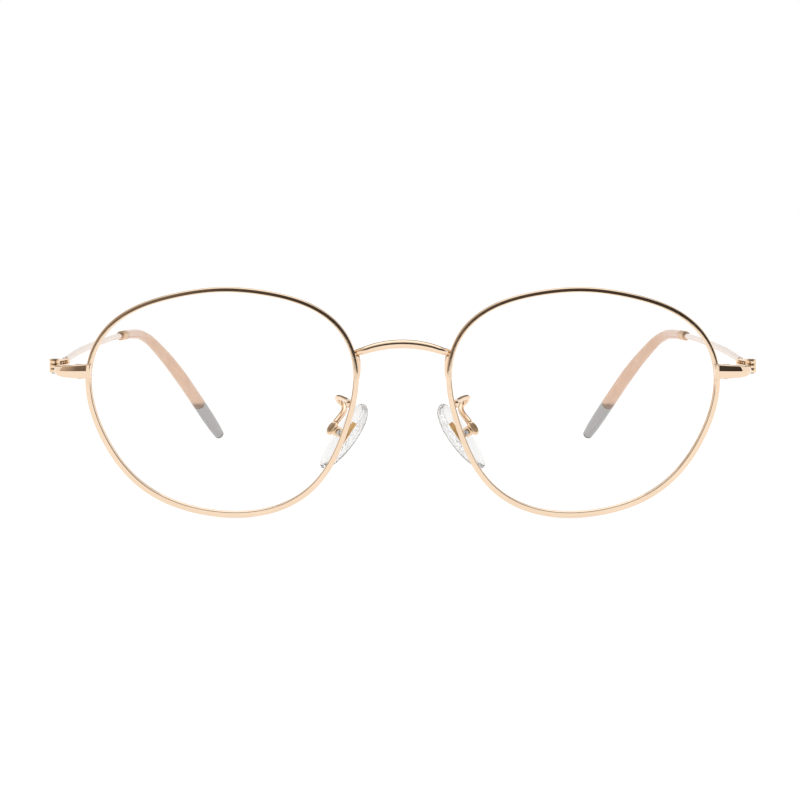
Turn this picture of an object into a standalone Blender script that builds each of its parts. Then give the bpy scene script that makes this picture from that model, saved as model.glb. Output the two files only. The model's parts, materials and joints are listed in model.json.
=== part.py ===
"""Full-rim wire eyeglasses frame, size 51-18-145, standing open on its rims and temple tips.

The lenses face -Y, +Z is up, and the origin is on the table under the middle of the bounding box.
Left and right are as seen from the front, so right is +X. Each side is described once, with x
positive, and made twice: side is 1 for the right and -1 for the left.
All sizes below are in millimetres, and at() turns a place into metres.
"""

import math

import bmesh
import bpy
from mathutils import Matrix, Vector

MM = 0.001
SOLDER_GAP = 0.3  # between pieces that rest on each other or are soldered together
FIT = 0.1  # between pieces that turn or sit inside each other
FRONT_Y = -69.2  # the front's middle plane, which puts the origin halfway along the frame

# Front
LENS_CENTRE_X = 34.35
# Radii of the rim wire's middle line every 30 degrees, from the nose over the top to the bottom.
WIRE_RADII = (24.9, 26.7, 23.55, 21.8, 23.1, 26.5, 25.35, 23.0, 21.65, 21.35, 22.9, 23.65)
LENS_CURVE = 132.0  # radius of the sphere that the rims are bent to
RIM_WIDTH = 1.2
RIM_DEPTH = 1.9
GROOVE_DEPTH = 0.45
GROOVE_WIDTH = 0.9
SPLIT_Z = 27.7  # where each rim is cut at the temple side
RIM_POINTS = 62

BRIDGE_SPAN = 15.0  # the part of the bridge that is one arc
BRIDGE_END_Z = 31.9
BRIDGE_RISE = 1.25
BRIDGE_RADIUS = 0.72
# Angle on the rim and radius of the wire, where its ends run down the rims.
BRIDGE_FOOT = ((19.8, 0.6), (17.6, 0.45), (15.5, 0.34), (13.3, 0.28), (11.2, 0.2))

# Rim locks: two blocks soldered to the cut ends of the rim, and the screw that closes them
LOCK_X = 62.1
LOCK_Y = 0.95
LOCK_WIDTH = 2.1
LOCK_DEPTH = 2.0
LOCK_BOTTOM = 26.0
LOCK_TOP = 29.3
LOCK_SCREW_RADIUS = 0.45
LOCK_HEAD_RADIUS = 0.75
SCREW_HEAD_HEIGHT = 0.4
SCREW_SLOT_WIDTH = 0.24
SCREW_SLOT_DEPTH = 0.2
CUT_PAST = 1.0  # how far a cutter runs past the piece it cuts
JOIN = 0.1  # how far pieces of one solid reach into each other
STEP = 0.02  # keeps the faces of joined pieces from coinciding

# End pieces, in plan from the rim to the hinge
LUG_PATH = (
    (61.5, -0.95),
    (63.2, -0.85),
    (64.8, -0.35),
    (66.0, 0.75),
    (66.65, 2.3),
    (66.85, 4.2),
    (66.85, 5.9),
)
LUG_START_Z = 27.95
LUG_END_Z = 27.7
LUG_THICKNESS = 1.2
LUG_HEIGHT = 2.8
LUG_TAPER = 0.7

# Hinges, with a vertical axis
HINGE_X = 68.0
HINGE_Y = 8.0
HINGE_BOTTOM = 26.75
HINGE_TOP = 30.1
KNUCKLE_RADIUS = 1.1
KNUCKLE_HEIGHT = 1.05
HINGE_SCREW_RADIUS = 0.48
HINGE_HEAD_RADIUS = 0.75
HINGE_HEAD_HEIGHT = 0.45
HINGE_HEAD_SINK = 0.05  # how far the head lies below the top knuckle
HINGE_SCREW_TAIL = 0.35
# Corners in plan, from the hinge's axis with x outwards
FRONT_PLATE = ((-1.65, -1.8), (-0.6, -1.15))
FRONT_ARM = ((-1.3, -1.5), (-0.4, -0.45))
TEMPLE_WEB = ((-0.6, 1.35), (0.6, 2.3))
BRACKET_ENDS = (1.8, 9.5)
BRACKET_SIDES = (-1.2, 0.3)
BRACKET_BOTTOM = 28.3
BRACKET_SLOT_Y = (3.2, 8.2)
BRACKET_SLOT_Z = (28.9, 29.5)

# Temples
TEMPLE_ROUTE = (
    (67.4, 17.5, 29.2),
    (67.0, 38.0, 29.65),
    (65.6, 70.6, 29.95),
    (63.9, 92.0, 29.55),
    (62.4, 101.3, 28.5),
    (60.1, 107.6, 25.6),
    (55.3, 118.1, 17.4),
    (47.5, 139.6, 0.7),
)
TEMPLE_RADIUS = 0.68
CORE_RADIUS = 0.5
NARROWING = 1.5  # length of wire over which the shaft thins to the core
TIP_START = 57.0  # along the route
TIP_BORE_RADIUS = 0.62
CORE_SHORT_OF_TIP = 12.0
FERRULE_LENGTH = 5.0
FERRULE_RADIUS = 0.84
FERRULE_SEAT_RADIUS = 0.92
TIP_RADII = ((0.0, 1.12), (30.0, 1.22), (45.0, 1.4), (90.0, 1.42))  # length along the tip, radius
TIP_SIDES = 10
TIP_MOUTH = 1.6  # how far past TIP_START the sleeve begins
TIP_END_RINGS = ((0.9, 0.93), (0.4, 0.74), (0.05, 0.4))  # distance from the end, share of the radius

# Nose pads and their arms
PAD_CENTRE = (11.35, 7.1, 14.75)
PAD_LENGTH = 15.0
PAD_WIDTH = 7.4
PAD_THICKNESS = 2.4
PAD_FRONTAL = math.radians(34)  # lean of the pad's long axis away from the nose
PAD_SPLAY = math.radians(28)  # turn of the pad's face towards the wearer
PAD_LEAN_BACK = 0.17
PAD_ROCK_HEIGHT = 2.4  # from the pad's middle out to the screw it rocks on
PAD_EGG = 0.12  # how much wider the pad is at its upper end, and narrower at its lower
PAD_INSERT = (4.8, 2.8)  # length and width of the plate in the pad
TONGUE = (1.5, 0.84)  # length and thickness of the part that the pad rocks on
CHEEK_LENGTH = 1.8
CHEEK_INSIDE = 0.56
CHEEK_OUTSIDE = 1.05
PAD_BOX_RADIUS = 1.5
PAD_BOX_THICKNESS = 0.5
PAD_BOX_BACK = 0.8  # from the screw out to the round back
PAD_SCREW_RADIUS = 0.32
PAD_HEAD_RADIUS = 0.58
PAD_ARM_RADIUS = 0.45
PAD_ARM_STOP = 2.05  # where the arm ends, from the middle of the pad box
PAD_ARM_ROUTE = (
    (10.1, 1.55, 21.8),
    (10.7, 3.4, 22.2),
    (11.9, 6.2, 22.5),
    (12.75, 7.9, 22.45),
    (12.5, 9.0, 21.8),
    (11.7, 8.9, 20.9),
    (11.5, 7.8, 19.7),
)

# Colour, roughness, metallic and alpha
MATERIALS = {
    "rose_gold_metal": ((0.86, 0.66, 0.5, 1), 0.18, 1.0, 1.0),
    "steel_screw": ((0.55, 0.54, 0.55, 1), 0.3, 1.0, 1.0),
    "clear_pad_silicone": ((0.9, 0.9, 0.9, 1), 0.25, 0.0, 0.35),
    "clear_tip_acetate": ((0.88, 0.86, 0.85, 1), 0.15, 0.0, 0.35),
}


# Scene, materials and objects


def clear_scene():
    for obj in list(bpy.data.objects):
        bpy.data.objects.remove(obj, do_unlink=True)


def new_collection(name):
    collection = bpy.data.collections.new(name)
    bpy.context.scene.collection.children.link(collection)
    return collection


def make_material(name):
    colour, roughness, metallic, alpha = MATERIALS[name]
    material = bpy.data.materials.new(name)
    material.use_nodes = True
    shader = material.node_tree.nodes["Principled BSDF"]
    shader.inputs["Base Color"].default_value = colour
    shader.inputs["Roughness"].default_value = roughness
    shader.inputs["Metallic"].default_value = metallic
    shader.inputs["Alpha"].default_value = alpha
    return material


def at(x, y, z):
    """A place in metres, from millimetres measured from the front's middle plane."""
    return Vector((x, y + FRONT_Y, z)) * MM


def new_object(name, data, collection, material=None, parent=None):
    """An object with its data in world places, moved under its parent if it has one."""
    obj = bpy.data.objects.new(name, data)
    collection.objects.link(obj)
    if material:
        data.materials.append(material)
    if parent:
        obj.parent = parent
        obj.matrix_parent_inverse = parent.matrix_world.inverted()
    return obj


def axis_empty(name, place):
    empty = bpy.data.objects.new(name, None)
    empty.empty_display_size = 5 * MM
    empty.location = place
    PARTS.objects.link(empty)
    bpy.context.view_layer.update()
    return empty


def helper(name, data):
    """A hidden object: a cutter, a piece to be joined on, or a profile."""
    obj = new_object(name, data, CUTTERS)
    obj.hide_render = True
    obj.display_type = "WIRE"
    return obj


def smooth(mesh):
    mesh.shade_smooth()
    mesh.set_sharp_from_angle(angle=math.radians(40))
    return mesh


# Shapes


def box_mesh(name, low, high):
    """A box between two corners, in millimetres from the front's middle plane."""
    low, high = at(*low), at(*high)
    low, high = (Vector(map(pick, low, high)) for pick in (min, max))
    bm = bmesh.new()
    place = Matrix.Translation((low + high) / 2) @ Matrix.Diagonal((*(high - low), 1))
    bmesh.ops.create_cube(bm, size=1, matrix=place)
    return finish_mesh(name, bm)


def rod_mesh(name, radius, start, end, sides=20):
    """A cylinder between two places that are already in metres."""
    bm = bmesh.new()
    along = end - start
    turn = along.to_track_quat("Z", "Y").to_matrix().to_4x4()
    place = Matrix.Translation((start + end) / 2) @ turn
    bmesh.ops.create_cone(
        bm,
        cap_ends=True,
        segments=sides,
        radius1=radius * MM,
        radius2=radius * MM,
        depth=along.length,
        matrix=place,
    )
    return finish_mesh(name, bm)


def finish_mesh(name, bm):
    bmesh.ops.recalc_face_normals(bm, faces=bm.faces)
    mesh = bpy.data.meshes.new(name)
    bm.to_mesh(mesh)
    bm.free()
    return smooth(mesh)


def wire_curve(name, points, radii, sides=8):
    """A round wire through world points, with its own radius in millimetres at each."""
    curve = bpy.data.curves.new(name, "CURVE")
    curve.dimensions = "3D"
    curve.bevel_depth = MM
    curve.bevel_resolution = sides // 2 - 2
    curve.use_fill_caps = True
    add_points(curve, points, radii)
    return curve


def add_points(curve, points, radii):
    spline = curve.splines.new("POLY")
    spline.points.add(len(points) - 1)
    spline.use_smooth = True
    for target, point, radius in zip(spline.points, points, radii):
        target.co = (*point, 1)
        target.radius = radius


def profile_object(name, outline):
    """A closed outline for a sweep, in millimetres."""
    curve = bpy.data.curves.new(name, "CURVE")
    curve.dimensions = "2D"
    add_points(curve, [(x * MM, y * MM, 0) for x, y in outline], [1] * len(outline))
    curve.splines[0].use_cyclic_u = True
    curve.splines[0].use_smooth = False
    return helper(name, curve)


def sweep_curve(name, points, radii, profile):
    """A profile carried along points, with its second axis kept along local Z."""
    curve = bpy.data.curves.new(name, "CURVE")
    curve.dimensions = "3D"
    curve.twist_mode = "Z_UP"
    curve.bevel_mode = "OBJECT"
    curve.bevel_object = profile
    curve.use_fill_caps = True
    add_points(curve, points, radii)
    return curve


def curve_to_mesh(name, curve):
    """The curve's solid as a welded mesh, which a Boolean can cut."""
    source = helper(name + "_source", curve)
    graph = bpy.context.evaluated_depsgraph_get()
    mesh = bpy.data.meshes.new_from_object(source.evaluated_get(graph))
    bpy.data.objects.remove(source, do_unlink=True)
    bm = bmesh.new()
    bm.from_mesh(mesh)
    bmesh.ops.remove_doubles(bm, verts=bm.verts, dist=0.0005 * MM)
    bmesh.ops.recalc_face_normals(bm, faces=bm.faces)
    bm.to_mesh(mesh)
    bm.free()
    return smooth(mesh)


def add_booleans(obj, operation, meshes):
    for index, mesh in enumerate(meshes):
        modifier = obj.modifiers.new(f"{operation.lower()} {index + 1}", "BOOLEAN")
        modifier.operation = operation
        modifier.object = helper(f"{obj.name}_{operation.lower()}_{index + 1}", mesh)


def solid(name, mesh, material, parent=None, joined=(), cut=()):
    """One sub-part: a mesh, with other meshes joined to it and then cut out of it."""
    obj = new_object(name, mesh, PARTS, material, parent)
    add_booleans(obj, "UNION", joined)
    add_booleans(obj, "DIFFERENCE", cut)
    return obj


# Lines that the pieces follow


def rim_radius(angle):
    """Radius of the rim's middle line, by trigonometric interpolation through WIRE_RADII."""
    count = len(WIRE_RADII)
    total = 0.0
    for index, radius in enumerate(WIRE_RADII):
        turn = angle - 2 * math.pi * index / count
        waves = sum(math.cos(order * turn) for order in range(1, count // 2))
        total += radius * (1 + 2 * waves + math.cos(count // 2 * turn)) / count
    return total


def lens_centre_z():
    """Height of the lens centres that sets the rims' lowest points on the table."""
    angles = (math.radians(degree) for degree in range(180, 360))
    lowest = min((rim_radius(angle) + RIM_WIDTH / 2) * math.sin(angle) for angle in angles)
    return -lowest


def rim_place(angle, offset=0.0):
    """A point on the rim in millimetres, with its setback on the lens curve."""
    radius = rim_radius(angle) + offset
    x = LENS_CENTRE_X - radius * math.cos(angle)
    z = LENS_CENTRE_Z + radius * math.sin(angle)
    mean = sum(WIRE_RADII) / len(WIRE_RADII)
    return x, (radius**2 - mean**2) / (2 * LENS_CURVE), z


def split_angle():
    """Angle from the nose at which the rim passes SPLIT_Z on the temple side."""
    angle = math.pi
    while rim_place(angle)[2] < SPLIT_Z:
        angle -= math.radians(0.1)
    return angle


def smooth_route(points, steps=10):
    """A Catmull-Rom curve through the points, as a close polyline of vectors."""
    knots = [Vector(point) for point in points]
    knots = [2 * knots[0] - knots[1], *knots, 2 * knots[-1] - knots[-2]]
    route = []
    for before, start, end, after in zip(knots, knots[1:], knots[2:], knots[3:]):
        for step in range(steps):
            t = step / steps
            route.append(
                0.5
                * (
                    2 * start
                    + (end - before) * t
                    + (2 * before - 5 * start + 4 * end - after) * t**2
                    + (3 * start - before - 3 * end + after) * t**3
                )
            )
    return [*route, knots[-2]]


def route_length(route):
    return sum((b - a).length for a, b in zip(route, route[1:]))


def along_route(route, distance):
    """The point a distance along a polyline, carried on straight beyond either end."""
    for a, b in zip(route, route[1:]):
        step = (b - a).length
        if distance <= step:
            return a + (b - a) * (distance / step)
        distance -= step
    return route[-1] + (route[-1] - route[-2]).normalized() * distance


def stretch(route, start, end, count):
    """Evenly spaced distances between two stations, and the points there."""
    distances = [start + (end - start) * index / (count - 1) for index in range(count)]
    return distances, [along_route(route, distance) for distance in distances]


def mirrored(points, side):
    return [at(side * x, y, z) for x, y, z in points]


def tip_radius(distance):
    """Outer radius of a temple tip at a distance from its mouth."""
    for (start, first), (end, second) in zip(TIP_RADII, TIP_RADII[1:]):
        if distance <= end:
            return first + (second - first) * (distance - start) / (end - start)
    return TIP_RADII[-1][1]


# Front


def rim_profile():
    """The rim wire's section: a crowned outer face and a V groove on the lens side."""
    half, deep = RIM_WIDTH / 2, RIM_DEPTH / 2
    upper = [
        (half, deep * 0.5),
        (half * 0.65, deep),
        (-half * 0.7, deep),
        (-half, deep * 0.78),
        (-half, GROOVE_WIDTH / 2),
    ]
    lower = [(x, -y) for x, y in reversed(upper)]
    return upper + [(GROOVE_DEPTH - half, 0)] + lower


def make_rim(name, side, profile):
    """The rim wire, cut through at the rim lock. Its path is drawn flat and stood up."""
    split = split_angle()
    half_cut = SOLDER_GAP / 2 / rim_radius(split)
    sweep = 2 * math.pi - 2 * half_cut
    angles = [split + half_cut + sweep * i / (RIM_POINTS - 1) for i in range(RIM_POINTS)]
    places = [rim_place(angle) for angle in angles]
    path = [Vector((side * x, z, -y)) * MM for x, y, z in places]
    if side < 0:
        path.reverse()
    mesh = curve_to_mesh(name, sweep_curve(name, path, [1] * len(path), profile))
    mesh.transform(Matrix.Translation(at(0, 0, 0)) @ Matrix.Rotation(math.pi / 2, 4, "X"))
    return solid(name, mesh, ROSE_GOLD)


def make_bridge():
    """An arch of wire whose ends turn down and run along the rims."""
    half = BRIDGE_SPAN / 2
    radius = (half**2 + BRIDGE_RISE**2) / (2 * BRIDGE_RISE)
    reach = math.asin(half / radius)
    arch = []
    for index in range(9):
        angle = reach * index / 8
        drop = radius * (1 - math.cos(angle))
        arch.append(((radius * math.sin(angle), 0, BRIDGE_END_Z + BRIDGE_RISE - drop), BRIDGE_RADIUS))
    foot = []
    for degrees, thick in BRIDGE_FOOT:
        place = rim_place(math.radians(degrees), RIM_WIDTH / 2 + SOLDER_GAP + thick)
        foot.append((place, thick))
    right = arch + foot
    left = [((-x, y, z), radius) for (x, y, z), radius in reversed(right[1:])]
    route = left + right
    points = [at(*place) for place, _ in route]
    curve = wire_curve("bridge", points, [radius for _, radius in route])
    return solid("bridge", curve_to_mesh("bridge", curve), ROSE_GOLD)


def make_rim_lock(name, side):
    """Upper and lower closing blocks and their screw, which holds the lens in the rim."""
    left, right = LOCK_X - LOCK_WIDTH / 2, LOCK_X + LOCK_WIDTH / 2
    front, back = LOCK_Y - LOCK_DEPTH / 2, LOCK_Y + LOCK_DEPTH / 2
    spans = {
        "upper": (SPLIT_Z + SOLDER_GAP / 2, LOCK_TOP),
        "lower": (LOCK_BOTTOM, SPLIT_Z - SOLDER_GAP / 2),
    }
    for part, (low, high) in spans.items():
        block = box_mesh(name, (side * left, front, low), (side * right, back, high))
        bore = lock_rod(name, side, LOCK_SCREW_RADIUS + FIT, low - CUT_PAST, high + CUT_PAST)
        solid(f"rim_lock_{part}_{name}", block, ROSE_GOLD, cut=[bore])
    low = LOCK_TOP + SOLDER_GAP
    high = low + SCREW_HEAD_HEIGHT
    head = lock_rod(name, side, LOCK_HEAD_RADIUS, low, high)
    shank = lock_rod(name, side, LOCK_SCREW_RADIUS, LOCK_BOTTOM, low + JOIN)
    slot = box_mesh(
        name,
        (side * (LOCK_X - CUT_PAST), LOCK_Y - SCREW_SLOT_WIDTH / 2, high - SCREW_SLOT_DEPTH),
        (side * (LOCK_X + CUT_PAST), LOCK_Y + SCREW_SLOT_WIDTH / 2, high + CUT_PAST),
    )
    solid(f"rim_lock_screw_{name}", head, STEEL, joined=[shank], cut=[slot])


def lock_rod(name, side, radius, low, high):
    """A cylinder on the rim lock's upright screw axis."""
    return rod_mesh(name, radius, at(side * LOCK_X, LOCK_Y, low), at(side * LOCK_X, LOCK_Y, high))


def make_end_piece(name, side, profile):
    """The lug that carries the hinge: it leaves the rim sideways and bends back."""
    path = smooth_route([(x, y, 0) for x, y in LUG_PATH], steps=3)
    count = len(path) - 1
    points = []
    radii = []
    for index, (x, y, _) in enumerate(path):
        share = index / count
        points.append(at(side * x, y, LUG_START_Z + (LUG_END_Z - LUG_START_Z) * share))
        radii.append(1 + (LUG_TAPER - 1) * share**0.7)
    mesh = curve_to_mesh(name, sweep_curve(name, points, radii, profile))
    return solid(f"end_piece_{name}", mesh, ROSE_GOLD)


def lug_profile():
    """Flat back, crowned front and rounded edges, symmetric so that it serves both sides."""
    half, tall = LUG_THICKNESS / 2, LUG_HEIGHT / 2
    quarter = [(half * 0.4, tall), (half * 0.85, tall * 0.72), (half, tall * 0.3)]
    right = quarter + [(x, -y) for x, y in reversed(quarter)]
    return right + [(-x, -y) for x, y in right]


# Hinges


def knuckle(name, side, low, high, radius=KNUCKLE_RADIUS):
    start, end = (at(side * HINGE_X, HINGE_Y, height) for height in (low, high))
    return rod_mesh(name, radius, start, end)


def hinge_box(name, side, corners, bottom, top):
    """A box between two heights, with its corners in plan from the hinge's axis."""
    (x0, y0), (x1, y1) = corners
    low = (side * (HINGE_X + x0), HINGE_Y + y0, bottom)
    high = (side * (HINGE_X + x1), HINGE_Y + y1, top)
    return box_mesh(name, low, high)


def make_front_leaf(name, side):
    """The middle knuckle, on an arm from a plate behind the end piece."""
    low = HINGE_BOTTOM + KNUCKLE_HEIGHT + FIT
    high = HINGE_TOP - KNUCKLE_HEIGHT - FIT
    plate = hinge_box(name, side, FRONT_PLATE, HINGE_BOTTOM, high)
    arm = hinge_box(name, side, FRONT_ARM, low, high)
    ring = knuckle(name, side, low, high)
    bore = knuckle(name, side, low - CUT_PAST, high + CUT_PAST, HINGE_SCREW_RADIUS + FIT)
    solid(f"hinge_front_leaf_{name}", plate, ROSE_GOLD, joined=[arm, ring], cut=[bore])


def make_temple_leaf(name, side, parent):
    """The upper and lower knuckles, on a slotted bracket that carries the temple wire."""
    upper = HINGE_TOP - KNUCKLE_HEIGHT
    lower = HINGE_BOTTOM + KNUCKLE_HEIGHT
    (inside, _), (outside, web_end) = TEMPLE_WEB
    neck = ((inside, 0), (outside, (TEMPLE_WEB[0][1] + web_end) / 2))
    (start, end), (inner, outer) = BRACKET_ENDS, BRACKET_SIDES
    bracket = ((inner, start), (outer, end))
    web = hinge_box(name, side, TEMPLE_WEB, HINGE_BOTTOM, HINGE_TOP)
    joined = [
        knuckle(name, side, upper, HINGE_TOP),
        knuckle(name, side, HINGE_BOTTOM, lower),
        hinge_box(name, side, neck, upper, HINGE_TOP - STEP),
        hinge_box(name, side, neck, HINGE_BOTTOM + STEP, lower),
        hinge_box(name, side, bracket, BRACKET_BOTTOM, HINGE_TOP - 2 * STEP),
    ]
    slot_plan = zip((inner - CUT_PAST, outer + CUT_PAST), BRACKET_SLOT_Y)
    slot = hinge_box(name, side, slot_plan, *BRACKET_SLOT_Z)
    past = HINGE_TOP + CUT_PAST
    bore = knuckle(name, side, HINGE_BOTTOM - CUT_PAST, past, HINGE_SCREW_RADIUS + FIT)
    head_seat = HINGE_TOP - HINGE_HEAD_HEIGHT - FIT
    counterbore = knuckle(name, side, head_seat, past, HINGE_HEAD_RADIUS + FIT)
    cut = [slot, bore, counterbore]
    solid(f"hinge_temple_leaf_{name}", web, ROSE_GOLD, parent, joined, cut)


def make_hinge_screw(name, side, parent):
    """The slotted screw that the temple turns on."""
    low = HINGE_TOP - HINGE_HEAD_HEIGHT
    top = HINGE_TOP - HINGE_HEAD_SINK
    head = knuckle(name, side, low, top, HINGE_HEAD_RADIUS)
    shank = knuckle(name, side, HINGE_BOTTOM - HINGE_SCREW_TAIL, low + JOIN, HINGE_SCREW_RADIUS)
    half = SCREW_SLOT_WIDTH / 2
    slot_plan = ((-CUT_PAST, -half), (CUT_PAST, half))
    slot = hinge_box(name, side, slot_plan, top - SCREW_SLOT_DEPTH, top + CUT_PAST)
    solid(f"hinge_screw_{name}", head, STEEL, parent, joined=[shank], cut=[slot])


# Temples


def make_temple_wire(name, side, route, parent):
    """The shaft, which narrows to a core inside the tip."""
    end = route_length(route) - CORE_SHORT_OF_TIP
    shaft_at, shaft = stretch(route, SOLDER_GAP, TIP_START, 14)
    core_at, core = stretch(route, TIP_START + NARROWING, end, 22)
    radii = [TEMPLE_RADIUS] * len(shaft_at) + [CORE_RADIUS] * len(core_at)
    points = mirrored(shaft + core, side)
    curve = wire_curve(name, points, radii)
    solid(f"temple_wire_{name}", curve_to_mesh(name, curve), ROSE_GOLD, parent)


def make_temple_tip(name, side, route, parent):
    """The clear sleeve over the core, open at its mouth and round at its end."""
    length = route_length(route)
    distances, points = stretch(route, TIP_START + TIP_MOUTH, length - TIP_MOUTH, 26)
    radii = [tip_radius(distance - TIP_START) for distance in distances]
    for back, share in TIP_END_RINGS:
        points.append(along_route(route, length - back))
        radii.append(TIP_RADII[-1][1] * share)
    tube = curve_to_mesh(name, wire_curve(name, mirrored(points, side), radii, TIP_SIDES))
    mouth = TIP_START + TIP_MOUTH
    outside = mouth - 2 * CUT_PAST
    _, bore = stretch(route, outside, length - CORE_SHORT_OF_TIP + SOLDER_GAP, 28)
    bore_radii = [TIP_BORE_RADIUS] * len(bore)
    _, seat = stretch(route, outside, mouth + FERRULE_LENGTH + FIT, 4)
    seat_radii = [FERRULE_SEAT_RADIUS] * len(seat)
    bore_curve = wire_curve(name, mirrored(bore, side), bore_radii)
    seat_curve = wire_curve(name, mirrored(seat, side), seat_radii, TIP_SIDES)
    cut = [curve_to_mesh(name + "_bore", bore_curve), curve_to_mesh(name + "_seat", seat_curve)]
    solid(f"temple_tip_{name}", tube, CLEAR_TIP, parent, cut=cut)


def make_tip_ferrule(name, side, route, parent):
    """The ring in the mouth of the tip, which the tip is pressed over."""
    start, end = TIP_START + TIP_MOUTH, TIP_START + TIP_MOUTH + FERRULE_LENGTH
    _, outer = stretch(route, start, end, 3)
    _, inner = stretch(route, start - CUT_PAST, end + CUT_PAST, 3)
    outer_curve = wire_curve(name, mirrored(outer, side), [FERRULE_RADIUS] * 3, TIP_SIDES)
    inner_curve = wire_curve(name, mirrored(inner, side), [TIP_BORE_RADIUS] * 3)
    body = curve_to_mesh(name, outer_curve)
    bore = curve_to_mesh(name + "_bore", inner_curve)
    solid(f"tip_ferrule_{name}", body, ROSE_GOLD, parent, cut=[bore])


# Nose pads


def pad_axes(side):
    """Unit vectors along the pad's length, across its width, and out through its nose face."""
    length = Vector((-math.sin(PAD_FRONTAL), PAD_LEAN_BACK, math.cos(PAD_FRONTAL))).normalized()
    face = Vector((-math.cos(PAD_SPLAY), math.sin(PAD_SPLAY), 0))
    face = (face - face.dot(length) * length).normalized()
    width = face.cross(length)
    flip = Vector((side, 1, 1))
    return length * flip, width * flip, face * flip


def pad_place(side, length=0.0, width=0.0, face=0.0):
    """A world place from distances in millimetres along the pad's own axes."""
    axes = pad_axes(side)
    x, y, z = PAD_CENTRE
    offset = sum((axis * d for axis, d in zip(axes, (length, width, face))), Vector())
    return at(side * x, y, z) + offset * MM


def pad_box_mesh(name, side, low, high):
    """A box along the pad's own axes, as two corners (length, width, face)."""
    length, width, face = pad_axes(side)
    turn = Matrix((length, width, face)).transposed().to_4x4()
    middle = [(a + b) / 2 for a, b in zip(low, high)]
    size = [abs(b - a) * MM for a, b in zip(low, high)]
    bm = bmesh.new()
    place = Matrix.Translation(pad_place(side, *middle)) @ turn @ Matrix.Diagonal((*size, 1))
    bmesh.ops.create_cube(bm, size=1, matrix=place)
    return finish_mesh(name, bm)


def pad_screw_rod(name, side, radius, start, end):
    """A cylinder on the axis the pad rocks on, between two distances across the pad."""
    places = (pad_place(side, width=width, face=-PAD_ROCK_HEIGHT) for width in (start, end))
    return rod_mesh(name, radius, *places, sides=14)


def pad_screw_bore(name, side):
    reach = CHEEK_OUTSIDE + CUT_PAST
    return pad_screw_rod(name, side, PAD_SCREW_RADIUS + FIT, -reach, reach)


def egg_mesh(name, side):
    """An ellipsoid on the pad's axes, wider towards its upper end."""
    bm = bmesh.new()
    bmesh.ops.create_uvsphere(bm, u_segments=20, v_segments=12, radius=0.5)
    for vert in bm.verts:
        across, deep, up = vert.co
        width = across * PAD_WIDTH * (1 + 2 * PAD_EGG * up)
        vert.co = pad_place(side, up * PAD_LENGTH, width, deep * PAD_THICKNESS)
    return finish_mesh(name, bm)


def make_nose_pad(name, side, parent):
    """The soft pad, with a pocket in its back for the insert."""
    length, width = (size / 2 + FIT for size in PAD_INSERT)
    pocket = pad_box_mesh(name, side, (-length, -width, -PAD_THICKNESS), (length, width, 0.25))
    solid(f"nose_pad_{name}", egg_mesh(name, side), CLEAR_PAD, parent, cut=[pocket])


def make_pad_insert(name, side, parent):
    """The plate held in the pad, and the tongue that the pad rocks on."""
    length, width = (size / 2 for size in PAD_INSERT)
    plate = pad_box_mesh(name, side, (-length, -width, -0.4), (length, width, 0.12))
    length, width = (size / 2 for size in TONGUE)
    end = -PAD_ROCK_HEIGHT - 0.6
    tongue = pad_box_mesh(name, side, (-length, -width, end), (length, width, -0.2))
    bore = pad_screw_bore(name, side)
    solid(f"pad_insert_{name}", plate, ROSE_GOLD, parent, joined=[tongue], cut=[bore])


def make_pad_box(name, side):
    """A round back with two cheeks, between which the insert's tongue sits."""
    back = PAD_ROCK_HEIGHT + PAD_BOX_BACK
    outside = pad_place(side, face=-back - PAD_BOX_THICKNESS)
    disc = rod_mesh(name, PAD_BOX_RADIUS, outside, pad_place(side, face=-back))
    half = CHEEK_LENGTH / 2
    cheeks = []
    for sign in (1, -1):
        low = (-half, CHEEK_INSIDE * sign, -back - JOIN)
        high = (half, CHEEK_OUTSIDE * sign, 0.65 - PAD_ROCK_HEIGHT)
        cheeks.append(pad_box_mesh(name, side, low, high))
    bore = pad_screw_bore(name, side)
    solid(f"pad_box_{name}", disc, ROSE_GOLD, joined=cheeks, cut=[bore])


def make_pad_screw(name, side):
    """The screw through the cheeks and the tongue, with its head towards the front."""
    front = -1 if pad_axes(side)[1].y > 0 else 1
    head_low = CHEEK_OUTSIDE + FIT
    head_high = head_low + SCREW_HEAD_HEIGHT
    shank = pad_screw_rod(name, side, PAD_SCREW_RADIUS, (head_low + JOIN) * front, -CHEEK_OUTSIDE * front)
    head = pad_screw_rod(name, side, PAD_HEAD_RADIUS, head_high * front, head_low * front)
    solid(f"pad_screw_{name}", head, STEEL, joined=[shank])


def make_pad_arm(name, side):
    """The bent wire from the back of the rim to the top of the pad box."""
    behind = PAD_ROCK_HEIGHT + PAD_BOX_BACK + PAD_BOX_THICKNESS / 2
    target = pad_place(1, length=PAD_ARM_STOP, face=-behind)
    end = target / MM - Vector((0, FRONT_Y, 0))
    route = smooth_route([*PAD_ARM_ROUTE, end], steps=3)
    points = mirrored(route, side)
    radii = [PAD_ARM_RADIUS] * len(points)
    solid(f"pad_arm_{name}", curve_to_mesh(name, wire_curve(name, points, radii)), ROSE_GOLD)


# Assembly

clear_scene()
PARTS = new_collection("eyeglasses_frame")
CUTTERS = new_collection("cutters")
ROSE_GOLD = make_material("rose_gold_metal")
STEEL = make_material("steel_screw")
CLEAR_PAD = make_material("clear_pad_silicone")
CLEAR_TIP = make_material("clear_tip_acetate")
LENS_CENTRE_Z = lens_centre_z()


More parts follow.
